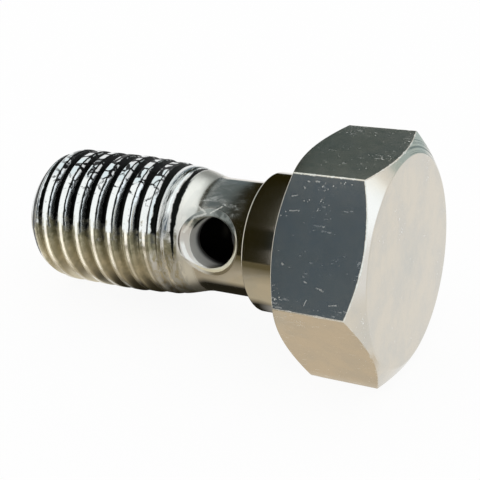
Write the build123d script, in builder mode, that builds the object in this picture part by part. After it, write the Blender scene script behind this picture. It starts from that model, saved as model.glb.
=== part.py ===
"""Banjo bolt with a 14 mm thread and a hexagon head: one turned and drilled piece of plated steel.

Oil enters the bore at the threaded end and leaves through the cross hole in the waist, into the
hose eye that is clamped under the head. The bolt is turned upright on the Z axis, with its seat
plane at Z = 0 and its head above. It is then laid down as it comes to rest, on one flat of its
head and on the crests near its threaded end, with its head towards +X.
"""
from build123d import *
from math import atan2, ceil, cos, degrees, radians, sin, tan
import os

# Hexagon head, chamfered towards both faces
across_flats = 21.0
head_height = 9.3
end_face_diameter = 20.0
seat_face_diameter = 19.9
head_chamfer_angle = 30.0

# Collar that centres the hose eye, waist that the oil flows round, and the shoulder, from which the
# crests taper up to their full diameter
collar_diameter = 13.8
collar_length = 4.7
collar_edge_break = 0.15
waist_diameter = 11.5
waist_end = 11.0
shoulder_angle = 15.0
shoulder_diameter = 13.2
crest_taper_end = 19.0

# Thread, a 60 degree profile with broad crests that runs out on the shoulder; turns are measured
# about Z from +X
thread_diameter = 14.0
pitch = 2.0
crest_flat = 0.75
root_flat = 0.25
flank_angle = 30.0
full_thread_end = 12.95
run_out_turns = 0.5
run_out_start_turn = 225.0

# Threaded end: a chamfer, and a slimmer lead-in between it and the full crests
shank_length = 31.2
tip_diameter = 10.1
tip_chamfer_angle = 45.0
tip_chamfer_diameter = 12.8
lead_in_start = 28.4

# Oil ways: a blind bore from the tip, and a cross hole through both walls of the waist
bore_diameter = 6.4
bore_past_cross_hole = 0.6
drill_point_angle = 118.0
bore_mouth_chamfer = 0.4
cross_hole_diameter = 5.0
cross_hole_below_seat = 9.0
cross_hole_turn = 72.0
countersink_diameter = 6.4
countersink_angle = 90.0

# How far cutting shapes reach past what they cut; the thread cutter stays narrower than the pitch
overcut = 0.5
crest_overcut = crest_flat / 5

# Sizes that follow
head_sides = 6
half_side_angle = 180 / head_sides
apothem = across_flats / 2
corner_radius = apothem / cos(radians(half_side_angle))
end_face_radius = end_face_diameter / 2
seat_face_radius = seat_face_diameter / 2
chamfer_slope = tan(radians(head_chamfer_angle))
blank_radius = corner_radius + overcut
collar_radius = collar_diameter / 2
waist_radius = waist_diameter / 2
thread_radius = thread_diameter / 2
tip_radius = tip_diameter / 2
bore_radius = bore_diameter / 2
shoulder_radius = shoulder_diameter / 2
shoulder_end = waist_end + (shoulder_radius - waist_radius) / tan(radians(shoulder_angle))
tip_chamfer_radius = tip_chamfer_diameter / 2
tip_chamfer_length = (tip_chamfer_radius - tip_radius) / tan(radians(tip_chamfer_angle))
lead_in_end = shank_length - tip_chamfer_length
lead_in_slope = (thread_radius - tip_chamfer_radius) / (lead_in_end - lead_in_start)
lead_in_reach = (blank_radius - tip_chamfer_radius) / lead_in_slope
flank_slope = tan(radians(flank_angle))
thread_depth = (pitch - crest_flat - root_flat) / 2 / flank_slope
run_out_length = run_out_turns * pitch
run_out_angle = degrees(atan2(thread_depth, run_out_length))
groove_turns = ceil((shank_length - full_thread_end) / pitch) + 1
blank_length = full_thread_end + (groove_turns + 1) * pitch
bore_end = cross_hole_below_seat - cross_hole_diameter / 2 - bore_past_cross_hole
drill_point_length = bore_radius / tan(radians(drill_point_angle / 2))


def groove_section():
    """Thread groove in the XZ plane: a flat root, and flanks that open just past the crests."""
    root_radius = thread_radius - thread_depth
    mouth_radius = thread_radius + crest_overcut
    mouth_width = pitch - crest_flat + 2 * crest_overcut * flank_slope
    with BuildSketch(Plane.XZ) as section:
        with BuildLine():
            Polyline(
                (root_radius, -root_flat / 2),
                (mouth_radius, -mouth_width / 2),
                (mouth_radius, mouth_width / 2),
                (root_radius, root_flat / 2),
                close=True,
            )
        make_face()
    return section.sketch


# One turn of the thread groove at full depth, starting on +X
with BuildPart() as groove_turn:
    with BuildLine() as turn_path:
        Helix(pitch, pitch, thread_radius)
    sweep(groove_section(), path=turn_path.line, is_frenet=True)

# The same groove where it climbs out of the shoulder, on a helix that widens
with BuildPart() as run_out:
    with BuildLine() as run_out_path:
        Helix(
            pitch / cos(radians(run_out_angle)),
            run_out_length,
            thread_radius,
            cone_angle=run_out_angle,
        )
    sweep(groove_section(), path=run_out_path.line, is_frenet=True)

with BuildPart() as upright:
    # Head: a hexagon with one flat towards +X, turned down to a cone at each face
    with BuildSketch():
        RegularPolygon(apothem, head_sides, major_radius=False, rotation=half_side_angle)
    extrude(amount=head_height)
    with BuildSketch(Plane.XZ):
        with BuildLine():
            Polyline(
                (0, 0),
                (seat_face_radius, 0),
                (blank_radius, (blank_radius - seat_face_radius) * chamfer_slope),
                (blank_radius, head_height - (blank_radius - end_face_radius) * chamfer_slope),
                (end_face_radius, head_height),
                (0, head_height),
                close=True,
            )
        make_face()
    revolve(axis=Axis.Z, mode=Mode.INTERSECT)

    # Shank: collar, waist, shoulder and a thread blank that is longer than the bolt
    with BuildSketch(Plane.XZ):
        with BuildLine():
            Polyline(
                (0, 0),
                (collar_radius, 0),
                (collar_radius, collar_edge_break - collar_length),
                (collar_radius - collar_edge_break, -collar_length),
                (waist_radius, -collar_length),
                (waist_radius, -waist_end),
                (shoulder_radius, -shoulder_end),
                (thread_radius, -crest_taper_end),
                (thread_radius, -blank_length),
                (0, -blank_length),
                close=True,
            )
        make_face()
    revolve(axis=Axis.Z)

    # Thread, cut one turn after another down from its run-out
    with Locations((0, 0, -full_thread_end)):
        add(run_out.part, rotation=(0, 0, run_out_start_turn), mode=Mode.SUBTRACT)
    for lap in range(1, groove_turns + 1):
        with Locations((0, 0, -full_thread_end - lap * pitch)):
            add(groove_turn.part, rotation=(0, 0, run_out_start_turn), mode=Mode.SUBTRACT)

    # Tip, cut to length with its chamfer and lead-in
    with BuildSketch(Plane.XZ):
        with BuildLine():
            Polyline(
                (0, -shank_length),
                (tip_radius, -shank_length),
                (tip_chamfer_radius, -lead_in_end),
                (blank_radius, lead_in_reach - lead_in_end),
                (blank_radius, -blank_length - overcut),
                (0, -blank_length - overcut),
                close=True,
            )
        make_face()
    revolve(axis=Axis.Z, mode=Mode.SUBTRACT)

    # Bore with its drill point and mouth chamfer
    with BuildSketch(Plane.XZ):
        with BuildLine():
            Polyline(
                (0, -shank_length),
                (bore_radius + bore_mouth_chamfer, -shank_length),
                (bore_radius, bore_mouth_chamfer - shank_length),
                (bore_radius, -bore_end),
                (0, drill_point_length - bore_end),
                close=True,
            )
        make_face()
    revolve(axis=Axis.Z, mode=Mode.SUBTRACT)

    # Cross hole, countersunk at both mouths and drilled from each side into the bore
    for turn in (cross_hole_turn, cross_hole_turn + 180):
        outward = Vector(cos(radians(turn)), sin(radians(turn)), 0)
        mouth = Plane(outward * waist_radius - Vector(0, 0, cross_hole_below_seat), z_dir=outward)
        with Locations(mouth):
            CounterSinkHole(
                cross_hole_diameter / 2,
                countersink_diameter / 2,
                depth=waist_radius,
                counter_sink_angle=countersink_angle,
            )

# Resting pose: the lowest point of the head is the middle of the flat's edge at the seat side,
# and the lowest points of the shank are the crests where the lead-in starts
head_contact = (apothem - seat_face_radius) * chamfer_slope
tilt = atan2(apothem - thread_radius, head_contact + lead_in_start)
seat_height = apothem * cos(tilt) - head_contact * sin(tilt)
head_reach = head_height * cos(tilt) + end_face_radius * sin(tilt)
tip_reach = shank_length * cos(tilt) + tip_radius * sin(tilt)
with BuildPart() as banjo_bolt:
    with Locations(((tip_reach - head_reach) / 2, 0, seat_height)):
        add(upright.part, rotation=(0, 90 - degrees(tilt), 0))
banjo_bolt.part.label = "banjo_bolt"

os.makedirs("parts", exist_ok=True)
export_step(banjo_bolt.part, "parts/banjo_bolt.step")
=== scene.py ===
"""Looks of the banjo bolt: a finer mesh of the same form with its edges broken, in worn plated steel."""
from math import atan2, ceil, copysign, cos, pi, radians, sin, tan

import bmesh
import bpy
import numpy as np
from mathutils import Matrix, Vector

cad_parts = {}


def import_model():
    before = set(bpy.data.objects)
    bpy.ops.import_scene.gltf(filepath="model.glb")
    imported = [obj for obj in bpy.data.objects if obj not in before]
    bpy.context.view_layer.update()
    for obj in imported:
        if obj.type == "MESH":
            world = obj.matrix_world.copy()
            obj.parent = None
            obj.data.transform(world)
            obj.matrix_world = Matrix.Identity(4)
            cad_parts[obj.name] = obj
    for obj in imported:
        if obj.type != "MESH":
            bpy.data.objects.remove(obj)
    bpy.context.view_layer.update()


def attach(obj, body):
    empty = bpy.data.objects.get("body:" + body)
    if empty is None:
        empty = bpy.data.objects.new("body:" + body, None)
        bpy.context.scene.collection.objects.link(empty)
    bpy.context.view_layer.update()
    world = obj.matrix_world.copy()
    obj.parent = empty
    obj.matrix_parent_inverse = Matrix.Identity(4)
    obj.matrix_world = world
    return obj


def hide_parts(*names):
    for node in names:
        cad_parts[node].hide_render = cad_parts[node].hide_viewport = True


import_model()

MM = 0.001

# Head, with the bolt upright, its seat plane at Z = 0 and its head above
ACROSS_FLATS = 21.0
HEAD_HEIGHT = 9.3
END_FACE_RADIUS = 10.0
SEAT_FACE_RADIUS = 9.95
HEAD_CHAMFER_ANGLE = 30.0
CORNER_ROUNDING = 0.13

# Collar, waist and shoulder, from which the crests taper up to their full radius
COLLAR_RADIUS = 6.9
COLLAR_LENGTH = 4.7
WAIST_RADIUS = 5.75
WAIST_END = 11.0
WAIST_BLEND = 0.2
BLEND_MARGIN = 1.1
SHOULDER_ANGLE = 15.0
SHOULDER_RADIUS = 6.6
CREST_TAPER_END = 19.0
CONE_BLEND = 0.1

# Thread
THREAD_RADIUS = 7.0
PITCH = 2.0
CREST_FLAT = 0.75
ROOT_FLAT = 0.25
FLANK_ANGLE = 30.0
FULL_THREAD_END = 12.95
RUN_OUT_TURNS = 0.5
RUN_OUT_START = 225.0
CREST_ROUNDING = 0.12
ROOT_ROUNDING = 0.08

# Threaded end
SHANK_LENGTH = 31.2
TIP_RADIUS = 5.05
TIP_CHAMFER_ANGLE = 45.0
TIP_CHAMFER_RADIUS = 6.4
LEAD_IN_START = 28.4
RIM_BREAK = 0.03

# Oil ways
BORE_RADIUS = 3.2
BORE_END = 5.9
DRILL_POINT_ANGLE = 118.0
BORE_MOUTH_CHAMFER = 0.4
CROSS_HOLE_RADIUS = 2.5
COUNTERSINK_RADIUS = 3.2
CROSS_HOLE_BELOW_SEAT = 9.0
CROSS_HOLE_TURN = 72.0

# Mesh: degrees between its columns, and from a corner of the hexagon to the columns beside it
COLUMN_STEP = 2.0
CORNER_COLUMNS = np.array([0.15, 0.35, 0.5, 0.7, 0.9, 1.5])

# Distances from the edges of a crest and of a root to the rows beside them, and steps round the cross hole
CREST_EDGE_ROWS = (0.1, 0.05, 0.0, -0.05, -0.1)
ROOT_EDGE_ROWS = (0.04, -0.06)
HOLE_STEPS = 128

# Distance within which points are joined, and length below which an edge is dropped
SAME_POINT = 0.0002
NO_LENGTH = 0.0001

# Sizes that follow
APOTHEM = ACROSS_FLATS / 2
CHAMFER_SLOPE = tan(radians(HEAD_CHAMFER_ANGLE))
FLANK_SLOPE = tan(radians(FLANK_ANGLE))
THREAD_DEPTH = (PITCH - CREST_FLAT - ROOT_FLAT) / 2 / FLANK_SLOPE
SHOULDER_END = WAIST_END + (SHOULDER_RADIUS - WAIST_RADIUS) / tan(radians(SHOULDER_ANGLE))
LEAD_IN_END = SHANK_LENGTH - (TIP_CHAMFER_RADIUS - TIP_RADIUS) / tan(radians(TIP_CHAMFER_ANGLE))
PLAIN_WAIST_END = WAIST_END - BLEND_MARGIN * WAIST_BLEND / tan(radians(SHOULDER_ANGLE))
COUNTERSINK_FLOOR = WAIST_RADIUS - (COUNTERSINK_RADIUS - CROSS_HOLE_RADIUS)
CUTTER_REACH = THREAD_RADIUS + 2

# Direction of the near flat's normal, from which the material measures directions downwards
NEAR_FLAT_TURN = 240.0

# Colours of the plate, with painted reflections, highlights and shade on the thread and a painted highlight
# on the near shoulder
WARM_PLATE = (0.65, 0.60, 0.51)
DULL_PLATE = (0.585, 0.56, 0.50)
COOL_UPPER_REFLECTION = (0.68, 0.70, 0.70)
CREST_HIGHLIGHT = (0.92, 0.87, 0.76)
COOL_CREST_HIGHLIGHT = (0.76, 0.78, 0.78)
LOW_CREST_SHADE = (0.66, 0.60, 0.47)
SHOULDER_PLATE = (0.93, 0.91, 0.85)
NEAR_SHOULDER_HIGHLIGHT = (0.97, 0.955, 0.90)
CHAMFER_PLATE = (0.685, 0.66, 0.61)

# Colours where it is rubbed, stained or scratched
SMUDGE = (0.90, 0.90, 0.86)
RUN_OUT_RUB = (0.90, 0.90, 0.87)
SCRATCH = (0.85, 0.83, 0.76)
END_SMUDGE = (0.50, 0.51, 0.48)
TOOL_ARC = (0.22, 0.24, 0.22)
# Rubbed edges, also a painted edge highlight
WORN_EDGE_AND_HIGHLIGHT = (0.74, 0.73, 0.68)
STAIN = (0.46, 0.445, 0.39)
SCUFF = (0.85, 0.86, 0.84)
NICK = (0.86, 0.86, 0.83)
GALLING = (0.66, 0.65, 0.62)
MARK = (0.86, 0.85, 0.80)

# Painted reflections and shade on the thread, and colours of dirt in its seams and cracks
OLIVE_PAINTED_REFLECTION = (0.42, 0.385, 0.27)
PALE_PAINTED_REFLECTION = (0.60, 0.54, 0.40)
DARK_PAINTED_SHADE = (0.13, 0.125, 0.07)
BLACK_GROOVE_SHADE = (0.008, 0.009, 0.008)
SEAM_DIRT = (0.02, 0.022, 0.02)
CRACK_DIRT = (0.012, 0.012, 0.012)

# Painted shade inside the oil ways, and colours round the near mouth of the cross hole, with painted light,
# shade and highlights
INSIDE_SHADE = (0.02, 0.018, 0.014)
LOW_MOUTH_SHADE = (0.32, 0.28, 0.20)
BACK_WALL_LIGHT = (0.92, 0.91, 0.87)
MOUTH_SIDE = (0.66, 0.62, 0.57)
HIGH_MOUTH_SHADE = (0.15, 0.165, 0.155)
HIGH_MOUTH_SHADE_PATCH = (0.30, 0.32, 0.30)
HAZE = (0.60, 0.62, 0.59)
RIM_HIGHLIGHT = (1.0, 0.97, 0.82)
BRIGHT_RIM_HIGHLIGHT = (1.0, 0.99, 0.96)

# Single marks on the near flat and above the cross hole: the two ends of each, as its place along the
# bolt and across the near flat, and its half width
FLAT_MARKS = (
    ((2.55, -4.9), (2.65, -4.8), 0.10),
    ((2.85, -5.45), (2.95, -5.4), 0.13),
    ((3.6, -5.5), (3.9, -5.5), 0.10),
    ((1.5, -2.7), (2.4, -2.8), 0.08),
    ((1.5, -4.0), (2.0, -4.1), 0.06),
    ((4.85, -1.7), (4.95, -1.7), 0.10),
    ((1.55, 2.0), (1.65, 2.05), 0.12),
    ((3.9, 3.2), (4.1, 3.3), 0.09),
    ((5.1, 3.6), (5.8, 3.8), 0.06),
    ((4.2, 5.3), (4.35, 4.8), 0.06),
    ((6.5, 4.9), (7.2, 4.8), 0.06),
)
ABOVE_HOLE_MARKS = (
    ((-11.9, 0.4), (-10.9, -1.1), 0.13),
    ((-10.9, -1.1), (-9.8, -1.6), 0.16),
    ((-11.2, -2.4), (-9.9, -1.75), 0.11),
    ((-9.3, -1.75), (-8.3, -2.5), 0.10),
    ((-12.1, -1.3), (-11.6, -3.6), 0.40),
)
HAZE_MARK = ((-11.4, -1.5), (-9.3, -1.8), 0.8)

# Camera's place in metres, its turns in degrees and its focal length in mm
CAMERA_PLACE = (0.0488614, -0.0854496, 0.0627239)
CAMERA_TURNS = (61.1216, -0.1924, 28.8796)
FOCAL_LENGTH = 83.39


def resting_pose():
    """The axis's tilt in radians and its place at the seat, lying on a head flat and the last full crests."""
    contact = (APOTHEM - SEAT_FACE_RADIUS) * CHAMFER_SLOPE
    tilt = atan2(APOTHEM - THREAD_RADIUS, contact + LEAD_IN_START)
    head_reach = HEAD_HEIGHT * cos(tilt) + END_FACE_RADIUS * sin(tilt)
    tip_reach = SHANK_LENGTH * cos(tilt) + TIP_RADIUS * sin(tilt)
    return tilt, Vector(((tip_reach - head_reach) / 2, 0, APOTHEM * cos(tilt) - contact * sin(tilt)))


def shank_lines():
    """Slope and offset of each straight part of the shank's outline, from the waist to the tip."""
    points = [
        (-WAIST_END, WAIST_RADIUS),
        (-SHOULDER_END, SHOULDER_RADIUS),
        (-CREST_TAPER_END, THREAD_RADIUS),
        (-LEAD_IN_START, THREAD_RADIUS),
        (-LEAD_IN_END, TIP_CHAMFER_RADIUS),
        (-SHANK_LENGTH, TIP_RADIUS),
    ]
    lines = []
    for (z0, r0), (z1, r1) in zip(points, points[1:]):
        slope = (r1 - r0) / (z1 - z0)
        lines.append((slope, r0 - slope * z0))
    return lines


def column_turns():
    """Directions of the mesh's columns about the axis, closer together at the hexagon's corners."""
    even = np.arange(0.0, 360.0, COLUMN_STEP)
    spread = np.concatenate([-CORNER_COLUMNS, CORNER_COLUMNS])
    corners = (np.arange(30.0, 390.0, 60.0)[:, None] + spread).ravel()
    return np.sort(np.concatenate([even, corners]))


TILT, AXIS_AT_SEAT = resting_pose()
LAID_DOWN = Matrix.Translation(AXIS_AT_SEAT * MM) @ Matrix.Rotation(radians(90) - TILT, 4, "Y")
SHANK_LINES = shank_lines()
TURNS = column_turns()
ANGLES = np.radians(TURNS)


def soft_min(a, b, size):
    """The smaller of two lengths, with the crossing rounded over about that size."""
    h = np.clip(0.5 + 0.5 * (b - a) / size, 0, 1)
    return b + (a - b) * h - size * h * (1 - h)


def soft_max(a, b, size):
    """The larger of two lengths, with the crossing rounded over about that size."""
    return -soft_min(-a, -b, size)


def hexagon_radius():
    """Distance from the axis to the hexagon in each column's direction, with rounded corners."""
    off_flat = np.abs((TURNS + 30) % 60 - 30)
    flat = APOTHEM / np.cos(np.radians(off_flat))
    off_corner = np.radians(30 - off_flat)
    centre = (APOTHEM - CORNER_ROUNDING) / cos(radians(30))
    half_chord = np.sqrt(np.maximum(CORNER_ROUNDING**2 - (centre * np.sin(off_corner)) ** 2, 0))
    arc = centre * np.cos(off_corner) + half_chord
    on_arc = centre * np.sin(off_corner) < CORNER_ROUNDING * sin(radians(30))
    return np.where(on_arc, arc, flat)


def rounded_rows(points, bends, steps):
    """Rows (r, z) along an outline, with a smooth bend at each corner between its ends.

    The bends say how far each one reaches in mm, and the steps how many rows each straight stretch has.
    A row just outside each end of a bend keeps the bend's shading off the stretches."""
    longest_share, row_outside = 0.4, 1.2
    points = [np.stack(np.broadcast_arrays(r, z, TURNS)[:2]).astype(float) for r, z in points]
    rows = [points[0]]
    start = points[0]
    for before, corner, after, bend, count in zip(points, points[1:], points[2:], bends, steps):
        back, ahead = before - corner, after - corner
        back_length, ahead_length = np.hypot(*back), np.hypot(*ahead)
        reach = np.minimum(bend, longest_share * np.minimum(back_length, ahead_length))
        back, ahead = back / back_length * reach, ahead / ahead_length * reach
        last = corner + row_outside * back
        rows += [start + (last - start) * k / count for k in range(1, count + 1)]
        rows += [corner + back * (1 - s) ** 2 + ahead * s**2 for s in (0, 0.25, 0.5, 0.75, 1)]
        start = corner + row_outside * ahead
        rows.append(start)
    rows += [start + (points[-1] - start) * k / steps[-1] for k in range(1, steps[-1] + 1)]
    return rows


def blank_radius(z, crest_z):
    """Radius of the shank where no groove is cut.

    On the taper, each crest is worn level from its upper edge, at crest_z."""
    radius = soft_max(SHANK_LINES[0][0] * z + SHANK_LINES[0][1], WAIST_RADIUS, WAIST_BLEND)
    radius = soft_min(radius, SHANK_LINES[1][0] * crest_z + SHANK_LINES[1][1], CONE_BLEND)
    for slope, offset in SHANK_LINES[2:]:
        radius = soft_min(radius, slope * z + offset, CONE_BLEND)
    return radius


def thread_rows():
    """Rows (r, z) that follow the helix down from its run-out, cut off flat at the waist and at the tip."""
    half = PITCH / 2
    crest_edge, root_edge = half - CREST_FLAT / 2, ROOT_FLAT / 2
    across = [half] + [crest_edge + off for off in CREST_EDGE_ROWS]
    across += [(2 * crest_edge + root_edge) / 3, (crest_edge + 2 * root_edge) / 3]
    across += [root_edge + off for off in ROOT_EDGE_ROWS]
    across += [-off for off in across[:0:-1]]
    # Grooves above and below the run-out's start, enough to reach the plain waist and the tip
    above, below = 2, ceil((SHANK_LENGTH - FULL_THREAD_END) / PITCH) + 1
    after_start = (TURNS - RUN_OUT_START) % 360
    rows = []
    for groove in range(-above, below):
        turns_up = after_start / 360 - groove
        centre = -FULL_THREAD_END + PITCH * turns_up
        root = THREAD_RADIUS - THREAD_DEPTH * (1 - np.clip(turns_up / RUN_OUT_TURNS, 0, 2))
        for off in across:
            z = np.clip(centre + off, RIM_BREAK - SHANK_LENGTH, -PLAIN_WAIST_END)
            up_flank = soft_max(np.abs(z - centre) - root_edge, 0.0, ROOT_ROUNDING)
            blank = blank_radius(z, centre + copysign(half, off) + CREST_FLAT / 2)
            rows.append(np.stack([soft_min(root + up_flank / FLANK_SLOPE, blank, CREST_ROUNDING), z]))
    return rows, after_start, len(across)


def body_rows():
    """Rows (r, z) of the head, the collar and the waist, from the middle of the end face."""
    hexagon = hexagon_radius()
    points = [
        (0.0, HEAD_HEIGHT),
        (END_FACE_RADIUS, HEAD_HEIGHT),
        (hexagon, HEAD_HEIGHT - (hexagon - END_FACE_RADIUS) * CHAMFER_SLOPE),
        (hexagon, (hexagon - SEAT_FACE_RADIUS) * CHAMFER_SLOPE),
        (SEAT_FACE_RADIUS, 0.0),
        (COLLAR_RADIUS, 0.0),
        (COLLAR_RADIUS, -COLLAR_LENGTH),
        (WAIST_RADIUS, -COLLAR_LENGTH),
        (WAIST_RADIUS, -PLAIN_WAIST_END),
    ]
    bends = [0.15, 0.09, 0.05, 0.12, 0.15, 0.12, 0.12]
    steps = [6, 3, 6, 3, 3, 5, 2, 24]
    return rounded_rows(points, bends, steps)


def bore_rows():
    """Rows (r, z) of the tip's face and the bore, to the end of its drill point."""
    points = [
        (TIP_RADIUS + RIM_BREAK, RIM_BREAK - SHANK_LENGTH),
        (TIP_RADIUS - RIM_BREAK, -SHANK_LENGTH),
        (BORE_RADIUS + BORE_MOUTH_CHAMFER, -SHANK_LENGTH),
        (BORE_RADIUS, BORE_MOUTH_CHAMFER - SHANK_LENGTH),
        (BORE_RADIUS, -BORE_END),
        (0.0, BORE_RADIUS / tan(radians(DRILL_POINT_ANGLE / 2)) - BORE_END),
    ]
    bends = [0.02, 0.05, 0.05, 0.05]
    steps = [1, 3, 2, 14, 4]
    return rounded_rows(points, bends, steps)


def place(rows):
    """Points of rows (r, z) in the upright frame."""
    rows = np.array(rows)
    r, z = rows[:, 0], rows[:, 1]
    return np.stack([r * np.cos(ANGLES), r * np.sin(ANGLES), z], axis=-1)


def lathe_faces(first, rows):
    """Quads between rows of columns, closing round from the last column to the first."""
    columns = len(TURNS)
    faces = []
    for j in range(rows - 1):
        a, b = first + j * columns, first + (j + 1) * columns
        for i in range(columns):
            k = (i + 1) % columns
            faces.append((a + i, b + i, b + k, a + k))
    return faces


def helix_faces(first, rows, after_start, per_turn):
    """Quads between rows that climb one pitch in a turn, so that the last column joins one groove on."""
    columns = len(TURNS)
    order = np.argsort(after_start)
    faces = []
    for j in range(rows - 1):
        for n, i in enumerate(order):
            k = order[(n + 1) % columns]
            across = j - (per_turn if n == columns - 1 else 0)
            if across >= 0:
                a, b = first + j * columns + i, first + across * columns + k
                faces.append((a, a + columns, b + columns, b))
    return faces


def cleaned(mesh):
    """Joins points that coincide, drops faces without area, and smooths what stays."""
    work = bmesh.new()
    work.from_mesh(mesh)
    bmesh.ops.remove_doubles(work, verts=work.verts, dist=SAME_POINT * MM)
    bmesh.ops.dissolve_degenerate(work, edges=work.edges, dist=NO_LENGTH * MM)
    bmesh.ops.recalc_face_normals(work, faces=work.faces)
    for face in work.faces:
        face.smooth = True
    work.to_mesh(mesh)
    work.free()


def bolt_mesh():
    """The whole bolt upright but for its cross hole: head, collar, waist, thread, tip and bore."""
    body, bore = body_rows(), bore_rows()
    thread, after_start, per_turn = thread_rows()
    columns = len(TURNS)
    faces = lathe_faces(0, len(body))
    faces += lathe_faces(len(body) * columns, len(bore))
    faces += helix_faces((len(body) + len(bore)) * columns, len(thread), after_start, per_turn)
    mesh = bpy.data.meshes.new("banjo_bolt_dressed")
    mesh.from_pydata((place(body + bore + thread).reshape(-1, 3) * MM).tolist(), [], faces)
    cleaned(mesh)
    return mesh


def cross_hole_mesh():
    """The drill and countersinks that cut the cross hole, along X and longer than the bolt is wide."""
    half = [(COUNTERSINK_FLOOR, CROSS_HOLE_RADIUS), (WAIST_RADIUS, COUNTERSINK_RADIUS)]
    half += [(CUTTER_REACH, COUNTERSINK_RADIUS), (CUTTER_REACH, 0.0)]
    outline = [(-x, r) for x, r in half[::-1]] + half
    steps = 2 * pi * np.arange(HOLE_STEPS) / HOLE_STEPS
    work = bmesh.new()
    rings = []
    for x, r in outline:
        turns = steps if r else steps[:1]
        rings.append([work.verts.new((x * MM, r * cos(turn) * MM, r * sin(turn) * MM)) for turn in turns])
    for a, b in zip(rings, rings[1:]):
        for k in range(HOLE_STEPS):
            corners = [a[k % len(a)], a[(k + 1) % len(a)], b[(k + 1) % len(b)], b[k % len(b)]]
            work.faces.new(list(dict.fromkeys(corners)))
    bmesh.ops.recalc_face_normals(work, faces=work.faces)
    mesh = bpy.data.meshes.new("cross_hole_cut")
    work.to_mesh(mesh)
    work.free()
    return mesh


def drilled(bolt):
    """The bolt's mesh with its cross hole cut through."""
    cutter = bpy.data.objects.new("cross_hole_cut", cross_hole_mesh())
    bpy.context.scene.collection.objects.link(cutter)
    down = Matrix.Translation((0, 0, -CROSS_HOLE_BELOW_SEAT * MM))
    cutter.matrix_world = down @ Matrix.Rotation(radians(CROSS_HOLE_TURN), 4, "Z")
    cut = bolt.modifiers.new("cross hole", "BOOLEAN")
    cut.operation = "DIFFERENCE"
    cut.solver = "EXACT"
    cut.object = cutter
    bpy.context.view_layer.update()
    evaluated = bolt.evaluated_get(bpy.context.evaluated_depsgraph_get())
    mesh = bpy.data.meshes.new_from_object(evaluated)
    bolt.modifiers.clear()
    bpy.data.objects.remove(cutter)
    cleaned(mesh)
    return mesh


def exact_normals(mesh):
    """Normals of the faces' corners, with those in the cross hole and on the waist worked out.

    The cut leaves long faces there, on which smooth normals would show as creases."""
    outward = Vector((cos(radians(CROSS_HOLE_TURN)), sin(radians(CROSS_HOLE_TURN)), 0))
    middle = Vector((0, 0, -CROSS_HOLE_BELOW_SEAT * MM))
    floor_at, waist_at, collar_at = COUNTERSINK_FLOOR * MM, WAIST_RADIUS * MM, -COLLAR_LENGTH * MM
    near_wall, near_waist, past_floor, past_collar = 0.03 * MM, 0.02 * MM, 0.01 * MM, 0.2 * MM
    facing_out = 0.95
    normals = [Vector(n.vector) for n in mesh.corner_normals]
    for polygon in mesh.polygons:
        centre = polygon.center
        along = (centre - middle).dot(outward)
        off_axis = (centre - middle) - outward * along
        wall_radius = CROSS_HOLE_RADIUS * MM + max(abs(along) - floor_at, 0)
        wall_radius = min(wall_radius, COUNTERSINK_RADIUS * MM)
        radial = Vector((centre.x, centre.y, 0))
        on_wall = abs(off_axis.length - wall_radius) < near_wall
        on_waist = abs(radial.length - waist_at) < near_waist
        if on_wall and abs(polygon.normal.dot(radial.normalized())) < facing_out:
            for loop in polygon.loop_indices:
                point = mesh.vertices[mesh.loops[loop].vertex_index].co - middle
                inward = -(point - outward * point.dot(outward)).normalized()
                if floor_at + past_floor < abs(along) < waist_at:
                    inward = (inward + outward * copysign(1, along)).normalized()
                normals[loop] = inward
        elif on_waist and -PLAIN_WAIST_END * MM < centre.z < collar_at:
            for loop in polygon.loop_indices:
                point = mesh.vertices[mesh.loops[loop].vertex_index].co
                if point.z < collar_at - past_collar:
                    normals[loop] = Vector((point.x, point.y, 0)).normalized()
    return normals


def make_bolt(material):
    """The dressed bolt in its resting pose, standing for the CAD node."""
    bolt = bpy.data.objects.new("banjo_bolt_dressed", bolt_mesh())
    bpy.context.scene.collection.objects.link(bolt)
    mesh = drilled(bolt)
    bolt.data = mesh
    turn = LAID_DOWN.to_3x3()
    normals = [turn @ normal for normal in exact_normals(mesh)]
    mesh.transform(LAID_DOWN)
    mesh.normals_split_custom_set(normals)
    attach(bolt, "root")
    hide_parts("banjo_bolt")
    mesh.materials.clear()
    mesh.materials.append(material)


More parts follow.
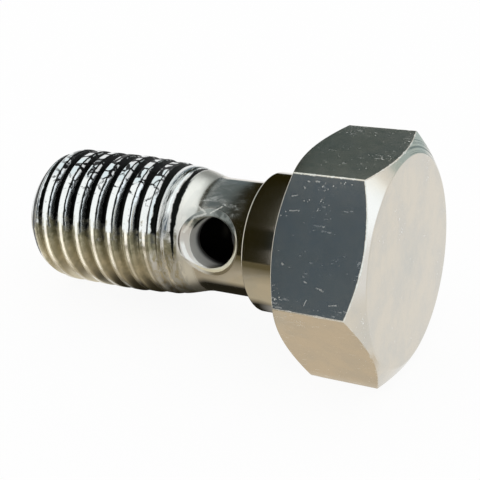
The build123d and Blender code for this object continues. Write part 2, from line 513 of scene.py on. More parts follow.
class Shading:
    """A material's node tree, with short ways to add nodes to it. It is called s where it is used."""

    def __init__(self, name):
        self.material = bpy.data.materials.new(name)
        self.material.use_nodes = True
        self.tree = self.material.node_tree

    def node(self, kind, inputs, **settings):
        """A node whose inputs, by name or number, are values or the outputs of other nodes."""
        node = self.tree.nodes.new("ShaderNode" + kind)
        for name, value in settings.items():
            setattr(node, name, value)
        for key, value in inputs.items():
            if isinstance(value, bpy.types.NodeSocket):
                self.tree.links.new(value, node.inputs[key])
            else:
                node.inputs[key].default_value = value
        return node

    def math(self, operation, *values):
        """The result of a Math node."""
        return self.node("Math", dict(enumerate(values)), operation=operation).outputs[0]

    def shifted(self, value, other, amount):
        """A value with another added to it that many times, such as a noise that makes a border ragged."""
        return self.math("MULTIPLY_ADD", other, amount, value)

    def product(self, *masks):
        """Where all of the masks are."""
        result = masks[0]
        for mask in masks[1:]:
            result = self.math("MULTIPLY", result, mask)
        return result

    def either(self, *masks):
        """Where any of the masks is."""
        result = masks[0]
        for mask in masks[1:]:
            result = self.math("MAXIMUM", result, mask)
        return result

    def band(self, value, low, high):
        """A mask that goes smoothly from 0 at the first limit to 1 at the second, which may be smaller."""
        inputs = {"Value": value, "From Min": low, "From Max": high}
        return self.node("MapRange", inputs, interpolation_type="SMOOTHSTEP").outputs[0]

    def between(self, value, low, high, edge):
        """A mask that is 1 from one limit to the other, with soft edges outside them."""
        return self.product(self.band(value, low - edge, low), self.band(value, high + edge, high))

    def vector(self, operation, first, second):
        """The resulting vector of a Vector Math node."""
        return self.node("VectorMath", {0: first, 1: second}, operation=operation).outputs[0]

    def dot(self, first, second):
        """The dot product of two vectors."""
        return self.node("VectorMath", {0: first, 1: second}, operation="DOT_PRODUCT").outputs["Value"]

    def length(self, vector):
        """The length of a vector."""
        return self.node("VectorMath", {0: vector}, operation="LENGTH").outputs["Value"]

    def off_line(self, point, on_line, way):
        """Distance of a point from a line through a place, in the direction of a unit vector."""
        return self.length(self.vector("CROSS_PRODUCT", self.vector("SUBTRACT", point, on_line), way))

    def mark(self, spot, start, end, half_width):
        """A scratch between two points of the flat coordinates that the spot vector holds."""
        start, end = Vector((*start, 0)), Vector((*end, 0))
        run = end - start
        from_start = self.vector("SUBTRACT", spot, start)
        inputs = {0: self.dot(from_start, run / run.length_squared), 1: 1.0}
        share = self.node("Math", inputs, operation="MULTIPLY", use_clamp=True).outputs[0]
        along = self.node("VectorMath", {0: run, "Scale": share}, operation="SCALE").outputs[0]
        off = self.length(self.vector("SUBTRACT", from_start, along))
        return self.band(off, half_width, 0.4 * half_width)

    def noise(self, vector, scale, detail=2.0, roughness=0.5, distortion=0.0):
        """Noise about 0.5, with that many waves in a millimetre."""
        inputs = {"Vector": vector, "Scale": scale, "Detail": detail, "Roughness": roughness}
        inputs["Distortion"] = distortion
        return self.node("TexNoise", inputs).outputs["Fac"]

    def stretched_noise(self, vector, stretch, scale, *shape):
        """Noise with its waves multiplied by a number along each axis."""
        return self.noise(self.vector("MULTIPLY", vector, stretch), scale, *shape)

    def ring_noise(self, radius, scale, *shape):
        """Noise that is the same all the way round the axis."""
        return self.noise(self.node("CombineXYZ", {0: radius}).outputs[0], scale, *shape)

    def cracks(self, vector, scale):
        """Distance from the edges between Voronoi cells."""
        inputs = {"Vector": vector, "Scale": scale, "Randomness": 1.0}
        return self.node("TexVoronoi", inputs, feature="DISTANCE_TO_EDGE").outputs["Distance"]

    def blend(self, mask, below, above):
        """A colour laid over another where the mask is."""
        return self.node("Mix", {0: mask, 6: below, 7: above}, data_type="RGBA").outputs[2]

    def level(self, mask, below, above):
        """A number laid over another where the mask is."""
        return self.node("Mix", {0: mask, 2: below, 3: above}).outputs[0]


class BoltPlaces:
    """Where a point lies on the bolt, in mm and degrees, and masks that several layers share."""

    def __init__(self, s):
        self.s = s
        position = s.node("TexCoord", {}).outputs["Object"]
        pose = {"Vector": position, "Location": AXIS_AT_SEAT * MM, "Rotation": (0, radians(90) - TILT, 0)}
        pose["Scale"] = (MM, MM, MM)
        self.point = s.node("Mapping", pose, vector_type="TEXTURE").outputs[0]
        self.z = s.node("SeparateXYZ", {0: self.point}).outputs[2]
        self.off_axis = s.vector("MULTIPLY", self.point, (1, 1, 0))
        self.radius = s.length(self.off_axis)
        self.out_of_flat = self.towards(NEAR_FLAT_TURN)
        self.across_flat = self.towards(NEAR_FLAT_TURN + 90)
        # Direction about the axis: 0 out of the near flat, 90 downwards
        self.down_turn = s.math("DEGREES", s.math("ARCTAN2", self.across_flat, self.out_of_flat))
        self.find_groove()
        self.find_cross_hole()
        self.find_flats()
        # Noises about 0, in coarse and in fine patches
        self.ragged = s.math("SUBTRACT", s.noise(self.point, 1.3, 3.0, 0.6), 0.5)
        self.fine = s.math("SUBTRACT", s.noise(self.point, 5.0, 3.0, 0.6), 0.5)
        self.ragged_turn = s.shifted(self.down_turn, self.ragged, 50)
        # Masks of the thread, the head, the outer skin and the upper side, where the painted shade in the
        # grooves is black
        self.threaded = s.product(s.band(self.z, -12.2, -12.5), s.band(self.radius, 4.2, 4.4))
        self.on_head = s.band(self.z, -0.05, 0.05)
        self.on_skin = s.band(self.radius, 5.4, 5.6)
        self.upper = s.band(self.ragged_turn, 22, 6)
        # Place along the bolt and across the near flat, bent a little, for single marks
        bent = s.shifted(self.across_flat, self.fine, 0.35)
        self.spot = s.node("CombineXYZ", {0: self.z, 1: bent}).outputs[0]

    def towards(self, turn):
        """How far from the axis the point is in a direction about it."""
        return self.s.dot(self.off_axis, (cos(radians(turn)), sin(radians(turn)), 0))

    def find_groove(self):
        """Place across the nearest groove, positive towards the head, and the depth below the crests."""
        s = self.s
        turned = s.math("MULTIPLY_ADD", self.down_turn, 1 / 360, (NEAR_FLAT_TURN - RUN_OUT_START) / 360)
        pitches = s.math("MULTIPLY_ADD", self.z, 1 / PITCH, FULL_THREAD_END / PITCH + 0.5)
        # Whole pitches are added, so that the fraction is never taken of a number below 0
        whole_pitches = 20
        share = s.math("FRACT", s.math("SUBTRACT", s.math("ADD", pitches, whole_pitches), turned))
        self.groove_off = s.math("MULTIPLY_ADD", share, PITCH, -PITCH / 2)
        crest_z = s.math("SUBTRACT", self.z, self.groove_off)
        crest_z = s.math("MULTIPLY_ADD", s.math("SIGN", self.groove_off), PITCH / 2, crest_z)
        crest_z = s.math("ADD", crest_z, CREST_FLAT / 2)
        blank = s.math("MULTIPLY_ADD", crest_z, *SHANK_LINES[1])
        for slope, offset in SHANK_LINES[:1] + SHANK_LINES[2:]:
            blank = s.math("MINIMUM", blank, s.math("MULTIPLY_ADD", self.z, slope, offset))
        self.depth = s.math("SUBTRACT", blank, self.radius)

    def find_cross_hole(self):
        """Distances from the cross hole's axis, and the direction round its near mouth.

        The direction is 0 towards the head, 90 down and 180 towards the tip. The painted highlight round the
        rim is set off centre, so its radius is measured from a line a little above the axis."""
        s = self.s
        highlight_shift = 0.25
        turn = radians(CROSS_HOLE_TURN)
        way, down = Vector((cos(turn), sin(turn), 0)), Vector((sin(turn), -cos(turn), 0))
        on_axis = Vector((0, 0, -CROSS_HOLE_BELOW_SEAT))
        self.hole_radius = s.off_line(self.point, on_axis, way)
        self.rim_radius = s.off_line(self.point, on_axis - highlight_shift * down, way)
        towards_head = s.math("ADD", self.z, CROSS_HOLE_BELOW_SEAT)
        self.hole_turn = s.math("DEGREES", s.math("ARCTAN2", s.dot(self.off_axis, down), towards_head))

    def find_flats(self):
        """How far a point of the head lies inside the planes of its nearest two flats."""
        s = self.s
        a, b, c = (s.math("ABSOLUTE", self.towards(NEAR_FLAT_TURN + turn)) for turn in (0, 60, 120))
        smaller, larger = s.math("MINIMUM", a, b), s.math("MAXIMUM", a, b)
        second = s.math("MAXIMUM", smaller, s.math("MINIMUM", larger, c))
        self.off_flat = s.math("SUBTRACT", APOTHEM, s.math("MAXIMUM", larger, c))
        self.off_next_flat = s.math("SUBTRACT", APOTHEM, second)


class Layers:
    """A colour and a roughness, on which layers are laid where their masks are, and the dents among them."""

    def __init__(self, s, colour, roughness):
        self.s = s
        self.colour = colour
        self.roughness = roughness
        self.dents = []

    def lay(self, mask, colour, roughness):
        """Lays a layer over what is there."""
        self.colour = self.s.blend(mask, self.colour, (*colour, 1))
        self.roughness = self.s.level(mask, self.roughness, roughness)

    def lay_dent(self, mask, colour, roughness):
        """Lays a layer that is also deeper than what is round it."""
        self.lay(mask, colour, roughness)
        self.dents.append(mask)


def bare_plate(s, at):
    """Mottled warm plate, smoothest on the collar and the waist."""
    mottle = s.band(s.noise(at.point, 0.35, 4.0, 0.65), 0.35, 0.7)
    colour = s.blend(mottle, (*WARM_PLATE, 1), (*DULL_PLATE, 1))
    roughness = s.level(s.noise(at.point, 1.3, 4.0, 0.65), 0.10, 0.22)
    turned = s.product(at.on_skin, s.band(at.z, -10.6, -9.6), s.band(at.z, 0.0, -0.1))
    return Layers(s, colour, s.level(turned, roughness, 0.09))


def lay_thread_painted_light(s, at, layers):
    """Painted light on the thread: a cool painted reflection on the upper side, painted highlights on the
    crests, and painted shade on the lowest ones.
    """
    # Painted highlights on the crests, a cool painted reflection above, painted shade on the lowest crests
    crest = s.product(at.threaded, s.band(s.math("ABSOLUTE", at.groove_off), 0.55, 0.65))
    low_crest_shade = s.product(at.threaded, s.band(s.shifted(at.down_turn, at.ragged, 120), 48, 76))
    low_crest_shade = s.product(low_crest_shade, s.level(s.band(at.z, -20, -24), 0.35, 1.0))
    layers.lay(s.product(at.threaded, at.upper), COOL_UPPER_REFLECTION, 0.16)
    layers.lay(crest, CREST_HIGHLIGHT, 0.14)
    layers.lay(s.product(crest, at.upper), COOL_CREST_HIGHLIGHT, 0.14)
    layers.lay(low_crest_shade, LOW_CREST_SHADE, 0.3)


def lay_shank_wear(s, at, layers, scratches, streak):
    """Smudges on the upper side of the waist, the pale shoulder with a painted highlight on its near side,
    and the rubbed, scratched run-out.
    """
    smudge_noise = s.stretched_noise(at.point, (1.6, 1.6, 0.9), 0.9, 4.0, 0.7, 0.5)
    smudges = s.product(at.on_skin, s.between(at.z, -11.0, -7.0, 1.5), s.band(at.down_turn, -14, -20))
    smudges = s.product(smudges, s.level(s.band(at.down_turn, -28, -42), 1.0, 0.45))
    smudges = s.product(smudges, s.band(smudge_noise, 0.38, 0.78))
    shoulder = s.product(at.on_skin, s.between(at.z, -13.0, -11.2, 0.5))
    # Painted highlight on the shoulder's near side
    near_shoulder_highlight = s.product(shoulder, s.between(at.down_turn, -20, 12, 12))
    run_out = s.product(at.on_skin, s.between(at.z, -15.0, -13.2, 0.6), s.between(at.down_turn, -45, 22, 14))
    run_out = s.product(run_out, s.band(streak, 0.38, 0.56), 0.75)
    layers.lay(smudges, SMUDGE, 0.32)
    layers.lay(shoulder, SHOULDER_PLATE, 0.38)
    layers.lay(near_shoulder_highlight, NEAR_SHOULDER_HIGHLIGHT, 0.58)
    layers.lay(run_out, RUN_OUT_RUB, 0.48)
    layers.lay(scratches, SCRATCH, 0.5)


def lay_end_wear(s, at, layers, off_chamfer):
    """Paler plate and turning arcs in parts of the end chamfer, and a smudge amid the end face."""
    chamfer = s.product(at.on_head, s.band(off_chamfer, 0.06, 0.02))
    pale_chamfer = s.product(chamfer, s.band(at.radius, 10.02, 10.1), s.between(at.down_turn, -22, 14, 14))
    end_smudge = s.product(s.band(at.z, HEAD_HEIGHT - 0.2, HEAD_HEIGHT - 0.1), s.band(at.radius, 3.4, 0.4))
    end_smudge = s.product(end_smudge, s.noise(at.point, 0.9, 4.0, 0.7), 0.8)
    arcs = s.product(chamfer, s.band(s.ring_noise(at.radius, 4.5, 2.0, 0.6), 0.48, 0.56))
    arcs = s.product(arcs, s.between(s.shifted(at.down_turn, at.ragged, 20), -103, -72, 8))
    arcs = s.product(arcs, s.between(at.radius, 10.15, 11.2, 0.2))
    layers.lay(pale_chamfer, CHAMFER_PLATE, 0.2)
    layers.lay(end_smudge, END_SMUDGE, 0.2)
    layers.lay(arcs, TOOL_ARC, 0.35)


def lay_worn_edges_and_highlights(s, at, layers, off_chamfer):
    """Rubbed edges of the head with a painted edge highlight, fainter beside the seat and at the near flat's
    lower corner.
    """
    seat_line = s.math("MULTIPLY_ADD", at.radius, CHAMFER_SLOPE, -SEAT_FACE_RADIUS * CHAMFER_SLOPE)
    end_edge = s.math("MAXIMUM", at.off_flat, off_chamfer)
    seat_edge = s.math("MAXIMUM", at.off_flat, s.math("SUBTRACT", at.z, seat_line))
    edge = s.math("MINIMUM", s.math("MINIMUM", end_edge, seat_edge), at.off_next_flat)
    # Painted edge highlight along with the rubbed edges
    worn_edge_and_highlight = s.product(at.on_head, s.band(s.shifted(edge, at.ragged, 0.5), 0.07, 0.0))
    worn_edge_and_highlight = s.product(worn_edge_and_highlight, s.level(s.band(seat_edge, 0.2, 0.1), 1.0, 0.15))
    worn_edge_and_highlight = s.product(worn_edge_and_highlight, s.level(s.between(at.down_turn, 20, 40, 5), 1.0, 0.5))
    layers.lay_dent(worn_edge_and_highlight, WORN_EDGE_AND_HIGHLIGHT, 0.40)


def lay_flat_wear(s, at, layers):
    """Cloudy stains on the near and upper flats, scuffs and nicks, and single marks on the near flat."""
    on_flat = s.product(at.on_head, s.band(at.off_flat, 0.12, 0.05))
    stain_noise = s.stretched_noise(at.point, (1.0, 1.0, 0.7), 0.55, 5.0, 0.72, 0.5)
    stains = s.product(on_flat, s.band(at.down_turn, 34, 27), s.band(stain_noise, 0.40, 0.66), 0.3)
    scuff_noise = s.stretched_noise(at.point, (1, 1, 0.28), 4.2, 2.0, 0.6)
    scuff_noise = s.shifted(scuff_noise, s.noise(at.point, 0.28, 2.0), 0.5)
    nick_noise = s.stretched_noise(at.point, (1, 1, 1.6), 3.4, 3.0, 0.7)
    nick_noise = s.shifted(nick_noise, s.noise(at.point, 0.32, 1.0), 0.45)
    marks = s.either(*(s.mark(at.spot, *mark) for mark in FLAT_MARKS))
    marks = s.product(marks, at.on_head, s.band(at.out_of_flat, 10.2, 10.3))
    layers.lay(stains, STAIN, 0.24)
    layers.lay(s.product(on_flat, s.band(scuff_noise, 0.91, 1.0), 0.5), SCUFF, 0.42)
    layers.lay_dent(s.product(at.on_head, s.band(nick_noise, 0.94, 0.98)), NICK, 0.55)
    layers.lay(s.product(marks, 0.7), MARK, 0.45)


def lay_head_wear(s, at, layers):
    """Wear of the head's end, its edges and its flats."""
    cone_apex = HEAD_HEIGHT + END_FACE_RADIUS * CHAMFER_SLOPE
    end_line = s.math("MULTIPLY_ADD", at.radius, -CHAMFER_SLOPE, cone_apex)
    off_chamfer = s.math("SUBTRACT", end_line, at.z)
    lay_end_wear(s, at, layers, off_chamfer)
    lay_worn_edges_and_highlights(s, at, layers, off_chamfer)
    lay_flat_wear(s, at, layers)


def lay_lower_reflection(s, at, layers):
    """Painted olive reflection on the lower side, on all but the crests, paler towards the underside, with
    painted shade along its top.
    """
    crest_off = s.shifted(s.math("ABSOLUTE", at.groove_off), at.ragged, 0.12)
    # Painted reflection on the lower side, paler towards the underside, with painted shade along its top edge
    lower_reflection = s.product(at.threaded, s.band(crest_off, 0.90, 0.78), s.band(at.ragged_turn, 2, 24))
    pale_reflection = s.product(lower_reflection, s.band(s.shifted(at.down_turn, at.ragged, 90), 30, 62))
    top_shade = s.product(lower_reflection, s.band(at.ragged_turn, 32, 13))
    layers.lay(lower_reflection, OLIVE_PAINTED_REFLECTION, 0.38)
    layers.lay(pale_reflection, PALE_PAINTED_REFLECTION, 0.32)
    layers.lay(top_shade, DARK_PAINTED_SHADE, 0.35)


def lay_groove_shade(s, at, layers, top):
    """Painted black shade in the upper grooves, which leaves a stripe of the near flank bright but at the
    top.
    """
    groove_off = s.shifted(s.shifted(at.groove_off, at.fine, 0.06), at.ragged, 0.35)
    past_stripe = s.math("ADD", groove_off, s.math("MULTIPLY_ADD", top, 0.2, 0.36))
    deep = s.band(s.shifted(at.depth, at.ragged, 0.25), 0.05, 0.12)
    # Painted black shade deep in the upper grooves
    groove_shade = s.product(at.threaded, s.band(past_stripe, 0.0, 0.06), deep, at.upper)
    # The groove's tail on the shoulder, painted black like the groove's shade, which narrows downwards
    tail_off = s.shifted(s.math("ABSOLUTE", groove_off), s.math("MAXIMUM", at.down_turn, -15), 0.006)
    tail = s.product(s.between(at.z, -13.3, -12.3, 0.2), s.band(tail_off, 0.30, 0.18))
    tail = s.product(tail, at.on_skin, s.between(at.down_turn, -45, 30, 8))
    layers.lay(s.either(groove_shade, tail), BLACK_GROOVE_SHADE, 0.35)


def lay_seams(s, at, layers):
    """A thin dark seam along the near edge of each crest, and a dark arc and a line near the tip."""
    seam = s.between(s.shifted(at.groove_off, at.ragged, 0.22), -0.66, -0.57, 0.04)
    seam = s.product(at.threaded, seam, at.upper, s.band(at.z, -14.3, -15.3))
    tip_arc = s.product(at.on_skin, s.between(s.shifted(at.z, at.ragged, 0.4), -30.2, -29.6, 0.08))
    tip_arc = s.product(tip_arc, s.between(at.ragged_turn, -72, 44, 14))
    tip_line = s.product(at.on_skin, s.between(at.z, -28.62, -28.52, 0.06), s.band(at.down_turn, 34, 48))
    layers.lay(s.either(seam, tip_arc, tip_line), SEAM_DIRT, 0.4)
    layers.dents.append(seam)


def lay_cracks(s, at, layers, top):
    """Dark cracks over the upper side of the thread, widest at the top."""
    push = s.node("TexNoise", {"Vector": at.point, "Scale": 0.9}).outputs["Color"]
    bent = s.vector("ADD", at.point, s.vector("MULTIPLY", push, (0.9, 0.9, 0.9)))
    from_crack = s.shifted(s.cracks(bent, 0.72), top, -0.09)
    upper_side = s.product(
        s.between(at.z, -27.5, -16.0, 1.5),
        s.band(s.shifted(at.down_turn, at.ragged, 120), -16, -40),
        s.band(s.shifted(at.down_turn, at.ragged, 90), -126, -104),
    )
    layers.lay_dent(s.product(at.threaded, s.band(from_crack, 0.085, 0.045), upper_side), CRACK_DIRT, 0.45)


def lay_galling(s, at, layers):
    """A torn patch on the lower side of the run-out."""
    galling_noise = s.stretched_noise(at.point, (0.6, 0.6, 1.6), 1.6, 4.0, 0.7, 0.6)
    galling = s.product(at.on_skin, s.between(at.z, -15.0, -12.4, 0.8), s.between(at.down_turn, 34, 80, 12))
    layers.lay(s.product(galling, s.band(galling_noise, 0.42, 0.56)), GALLING, 0.42)


def lay_thread_reflection_shade_and_cracks(s, at, layers):
    """Painted reflection and shade of the thread, and its seams and cracks."""
    top = s.band(s.shifted(at.down_turn, at.ragged, 60), -25, -70)
    top = s.product(top, s.band(at.down_turn, -140, -105))
    lay_lower_reflection(s, at, layers)
    lay_groove_shade(s, at, layers, top)
    lay_seams(s, at, layers)
    lay_cracks(s, at, layers, top)


def lay_oil_ways(s, at, layers):
    """Painted shade inside the bore and the cross hole."""
    bore = s.product(s.band(at.radius, 3.45, 3.3), s.band(at.z, 0.0, -1.0))
    cross_hole = s.product(s.band(at.radius, 5.3, 4.9), s.band(at.hole_radius, 3.3, 3.2))
    # Painted shade inside the oil ways
    layers.lay(s.either(bore, cross_hole), INSIDE_SHADE, 0.5)


def lay_mouth(s, at, layers, near_side, near_mouth):
    """The cross hole's near mouth: painted light on its wall towards the tip, and painted shade and a plain
    colour on the parts of its countersink.
    """
    back_turn = s.math("ABSOLUTE", at.hole_turn)
    # Painted shade on the countersink's lower and upper parts, with lighter patches above, and painted light
    # on the wall
    low_mouth_shade = s.product(near_mouth, s.band(at.hole_radius, 3.25, 3.2), s.between(at.hole_turn, 0, 150, 20))
    back_wall_light = s.product(near_side, s.band(at.hole_radius, 3.3, 3.2), s.band(at.radius, 3.35, 4.1))
    back_wall_light = s.product(back_wall_light, s.band(back_turn, 78, 112))
    mouth_side = s.product(near_mouth, s.between(at.hole_radius, 2.55, 3.2, 0.04))
    mouth_side = s.product(mouth_side, s.band(back_turn, 128, 150))
    high_mouth_shade = s.product(near_mouth, s.band(at.hole_radius, 3.28, 3.2))
    high_mouth_shade = s.product(high_mouth_shade, s.between(at.hole_turn, -142, -20, 15))
    layers.lay(low_mouth_shade, LOW_MOUTH_SHADE, 0.5)
    layers.lay(back_wall_light, BACK_WALL_LIGHT, 0.7)
    layers.lay(mouth_side, MOUTH_SIDE, 0.5)
    layers.lay(high_mouth_shade, HIGH_MOUTH_SHADE, 0.42)
    layers.lay(s.product(high_mouth_shade, s.band(at.ragged, -0.03, 0.10)), HIGH_MOUTH_SHADE_PATCH, 0.42)


def lay_rim(s, at, layers, near_mouth):
    """The near mouth's rim with a painted highlight, and a haze and single marks above it."""
    haze = s.product(s.mark(at.spot, *HAZE_MARK), near_mouth, 0.4)
    ragged_rim = s.shifted(at.rim_radius, at.ragged, 0.15)
    from_widest = s.math("ABSOLUTE", s.math("SUBTRACT", at.hole_turn, 50))
    inner_rim = s.shifted(ragged_rim, from_widest, -0.006)
    # Painted highlights round the rim, brighter towards the tip below
    rim = s.product(near_mouth, s.band(inner_rim, 2.50, 2.60), s.band(ragged_rim, 3.16, 3.10))
    rim = s.product(rim, s.band(from_widest, 92, 62))
    bright_rim_highlight = s.product(near_mouth, s.between(ragged_rim, 2.95, 3.15, 0.08))
    bright_rim_highlight = s.product(bright_rim_highlight, s.between(at.hole_turn, 132, 168, 12))
    marks = s.either(*(s.mark(at.spot, *mark) for mark in ABOVE_HOLE_MARKS))
    layers.lay(haze, HAZE, 0.45)
    layers.lay(rim, RIM_HIGHLIGHT, 0.6)
    layers.lay(bright_rim_highlight, BRIGHT_RIM_HIGHLIGHT, 0.6)
    layers.lay(s.product(marks, near_mouth, 0.7), MARK, 0.45)


def lay_near_mouth(s, at, layers):
    """All that shows at the near mouth of the cross hole."""
    near_side = s.product(s.band(at.out_of_flat, 0.0, 1.0), s.between(at.z, -12.6, -5.4, 0.2))
    near_mouth = s.product(near_side, s.band(at.radius, 4.5, 4.9))
    lay_mouth(s, at, layers, near_side, near_mouth)
    lay_rim(s, at, layers, near_mouth)


def relief(s, at, dents, scratches):
    """The normal of the surface, from turning marks on the end face, dents, scratches and a fine grain."""
    end_face = s.band(at.z, HEAD_HEIGHT - 0.15, HEAD_HEIGHT - 0.05)
    height = s.product(end_face, s.ring_noise(at.radius, 3.0, 4.0, 0.7), 0.2)
    height = s.shifted(height, s.either(*dents), -0.6)
    height = s.shifted(height, scratches, -0.25)
    height = s.shifted(height, at.fine, 0.03)
    return s.node("Bump", {"Height": height, "Strength": 0.5, "Distance": 0.03 * MM}).outputs[0]


def plated_steel():
    """Bright plate, rubbed pale at the edges, with dirt in the thread and scratches on the flats."""
    s = Shading("plated_steel")
    at = BoltPlaces(s)
    streak = s.stretched_noise(at.point, (0.5, 0.5, 5.0), 1.4, 3.0, 0.7, 0.4)
    scratches = s.product(at.on_skin, s.band(streak, 0.60, 0.67), s.between(at.z, -15.5, -12.4, 0.8))
    layers = bare_plate(s, at)
    lay_thread_painted_light(s, at, layers)
    lay_shank_wear(s, at, layers, scratches, streak)
    lay_head_wear(s, at, layers)
    lay_thread_reflection_shade_and_cracks(s, at, layers)
    lay_galling(s, at, layers)
    lay_oil_ways(s, at, layers)
    lay_near_mouth(s, at, layers)
    shader = s.tree.nodes["Principled BSDF"]
    shader.inputs["Metallic"].default_value = 1.0
    s.tree.links.new(layers.colour, shader.inputs["Base Color"])
    s.tree.links.new(layers.roughness, shader.inputs["Roughness"])
    s.tree.links.new(relief(s, at, layers.dents, scratches), shader.inputs["Normal"])
    return s.material


def glow(name, colour):
    """A material that glows in a colour where the mesh's cover attribute is 1, and is clear where it is 0."""
    s = Shading(name)
    s.tree.nodes.clear()
    cover = s.node("Attribute", {}, attribute_name="cover").outputs["Fac"]
    light = s.node("Emission", {"Color": (*colour, 1)})
    clear = s.node("BsdfTransparent", {})
    surface = s.node("MixShader", {0: cover, 1: clear.outputs[0], 2: light.outputs[0]})
    s.node("OutputMaterial", {"Surface": surface.outputs[0]})
    return s.material


def reflection_card(name, spot, margins, colour, steps=1):
    """A glowing card that only reflections see, which fades away over its margins.

    The spot function gives the card's points in mm in the row frame for two shares from 0 to 1."""
    along = np.concatenate([[0], np.linspace(margins[0], 1 - margins[0], steps + 1), [1]])
    across = [0, margins[1], 1 - margins[1], 1]
    points = [Vector(spot(u, v)) * MM for u in along for v in across]
    covers = [float(0 < u < 1 and 0 < v < 1) for u in along for v in across]
    faces = []
    for i in range(len(along) - 1):
        for j in range(len(across) - 1):
            a, b = i * len(across) + j, (i + 1) * len(across) + j
            faces.append((a, a + 1, b + 1, b))
    mesh = bpy.data.meshes.new(name)
    mesh.from_pydata(points, [], faces)
    mesh.attributes.new("cover", "FLOAT", "POINT").data.foreach_set("value", covers)
    mesh.materials.append(glow(name, colour))
    card = bpy.data.objects.new(name, mesh)
    bpy.context.scene.collection.objects.link(card)
    card.visible_camera = False
    card.visible_diffuse = False
    card.visible_shadow = False


def tent_card(name, span, turns, colour, soft=(4.0, 5.0), distance=56.0):
    """A card bent about the bolt's axis, over a span along it in mm and a range of turns.

    Turns are measured about the axis from straight in front of the near flat, over the top, and the
    card fades over the soft lengths, in mm and degrees, about the middle of each border."""
    z0, z1 = span[0] - soft[0] / 2, span[1] + soft[0] / 2
    turn0, turn1 = turns[0] - soft[1] / 2, turns[1] + soft[1] / 2
    axis = LAID_DOWN.to_3x3()
    degrees_in_step = 4

    def spot(u, v):
        turn = radians(NEAR_FLAT_TURN - turn0 - (turn1 - turn0) * u)
        return AXIS_AT_SEAT + axis @ Vector((distance * cos(turn), distance * sin(turn), z0 + (z1 - z0) * v))

    margins = (soft[1] / (turn1 - turn0), soft[0] / (z1 - z0))
    reflection_card(name, spot, margins, colour, max(2, int((turn1 - turn0) / degrees_in_step)))


def flat_card(name, corners, colour, margins):
    """A flat card with its four corners in mm, given in turn, and margins from its first two sides."""
    a, b, c, d = (Vector(corner) for corner in corners)

    def spot(u, v):
        return a.lerp(b, u).lerp(d.lerp(c, u), v)

    reflection_card(name, spot, (margins[0] / (b - a).length, margins[1] / (d - a).length), colour)


def low_card(name, x, y, colour, margins, height=0.3):
    """A level card just above the floor, between two values of x and two of y in mm."""
    corners = [(x[0], y[0], height), (x[1], y[0], height), (x[1], y[1], height), (x[0], y[1], height)]
    flat_card(name, corners, colour, margins)


def dark_cards():
    """Dim surroundings on the near side and over the top. A card nearer to the bolt hides those behind it."""
    tent_card("slate_card", (-30, 1), (-15, 15), (0.10, 0.137, 0.178))
    tent_card("green_card", (-29, -6), (104, 126), (0.078, 0.105, 0.105))
    tent_card("olive_card", (-35.5, -25), (-42, 142), (0.018, 0.015, 0.003), soft=(1.5, 5.0), distance=55.0)
    tent_card("umber_card", (-40.5, -34), (-42, 30), (0.03, 0.026, 0.01), soft=(2.0, 5.0), distance=55.5)
    tent_card("brown_card", (-29, -23.5), (20, 142), (0.04, 0.036, 0.014), distance=57.0)
    tent_card("blue_grey_card", (-44, -34), (30, 142), (0.15, 0.188, 0.208), distance=58.0)


def bright_cards():
    """Windows and pale surroundings over the top, and past both ends of the bolt."""
    tent_card("shoulder_card", (-23, -12), (20, 104), (1.42, 1.52, 1.54), distance=54.0)
    tent_card("window_card", (-85, -46), (-36, 62), (1.2, 1.22, 1.2))
    tent_card("high_window_card", (-85, -46), (62, 106), (0.95, 1.05, 1.07))
    tent_card("sky_card", (30, 110), (-40, 60), (1.10, 1.22, 1.27))
    tent_card("end_card", (0, 60), (118, 152), (0.55, 0.66, 0.67))


def low_cards():
    """Patches near the floor, which the lower sides reflect. A higher card hides those below it."""
    low_card("flat_card", (7, 27), (-15, -5), (0.72, 0.62, 0.49), (3.0, 1.5))
    low_card("waist_card", (-22, 2), (-64, -4.5), (0.47, 0.43, 0.35), (3.0, 1.0))
    low_card("collar_card", (-3, 12), (-64, -4.5), (0.60, 0.54, 0.42), (4.0, 1.0), height=0.25)
    low_card("rust_card", (-26, 10), (-70, -14), (0.14, 0.12, 0.065), (3.0, 20.0), height=0.35)
    low_card("shade_card", (-13, 9), (-7.2, 5), (0.02, 0.018, 0.012), (4.0, 2.3), height=0.4)
    low_card("crest_card", (-32, -12), (-28, -5), (1.2, 1.17, 1.1), (3.0, 3.0))


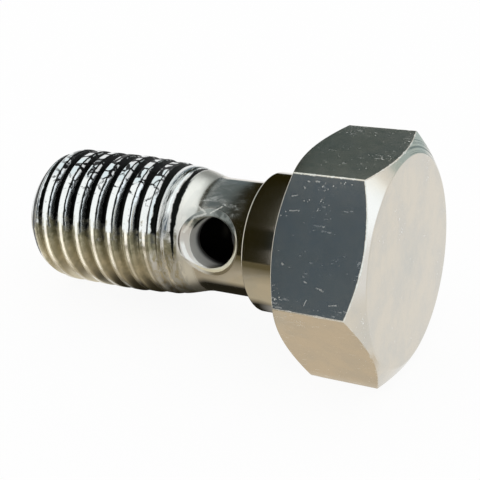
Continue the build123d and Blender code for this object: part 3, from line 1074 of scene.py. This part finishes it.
def end_window():
    """The upright window that the end face of the head reflects."""
    x, y, z = 150, (-40, 100), (30, 160)
    corners = [(x, y[0], z[0]), (x, y[1], z[0]), (x, y[1], z[1]), (x, y[0], z[1])]
    flat_card("end_window", corners, (1.37, 1.46, 1.55), (16, 16))


def floor():
    """Wide pale floor, near white to the camera and in reflections, with the bolt's shadow."""
    tone, reach = 0.92, 2
    s = Shading("floor")
    s.tree.nodes.clear()
    path = s.node("LightPath", {})
    seen = s.math("MAXIMUM", path.outputs["Is Camera Ray"], path.outputs["Is Glossy Ray"])
    seen = s.math("MAXIMUM", seen, path.outputs["Is Transmission Ray"])
    share = s.math("MULTIPLY", seen, tone)
    diffuse = s.node("BsdfDiffuse", {"Color": (tone, tone, tone, 1)})
    light = s.node("Emission", {})
    surface = s.node("MixShader", {0: share, 1: diffuse.outputs[0], 2: light.outputs[0]})
    s.node("OutputMaterial", {"Surface": surface.outputs[0]})
    corners = [(-reach, -reach, 0), (reach, -reach, 0), (reach, reach, 0), (-reach, reach, 0)]
    mesh = bpy.data.meshes.new("floor")
    mesh.from_pydata(corners, [], [(0, 1, 2, 3)])
    mesh.materials.append(s.material)
    plane = bpy.data.objects.new("floor", mesh)
    bpy.context.scene.collection.objects.link(plane)


def world():
    """Soft white light from all round."""
    sky = bpy.data.worlds.new("studio")
    sky.use_nodes = True
    background = sky.node_tree.nodes["Background"]
    background.inputs["Color"].default_value = (1, 1, 1, 1)
    background.inputs["Strength"].default_value = 1.0
    bpy.context.scene.world = sky


def camera():
    """A view of the near side from above, past the end of the head."""
    data = bpy.data.cameras.new("camera")
    data.lens = FOCAL_LENGTH
    data.sensor_width = 36
    data.clip_start = 0.01
    view = bpy.data.objects.new("camera", data)
    view.location = CAMERA_PLACE
    view.rotation_euler = [radians(turn) for turn in CAMERA_TURNS]
    bpy.context.scene.collection.objects.link(view)
    bpy.context.scene.camera = view


make_bolt(plated_steel())
floor()
world()
camera()
dark_cards()
bright_cards()
low_cards()
end_window()

bpy.context.scene.view_settings.view_transform = "Standard"
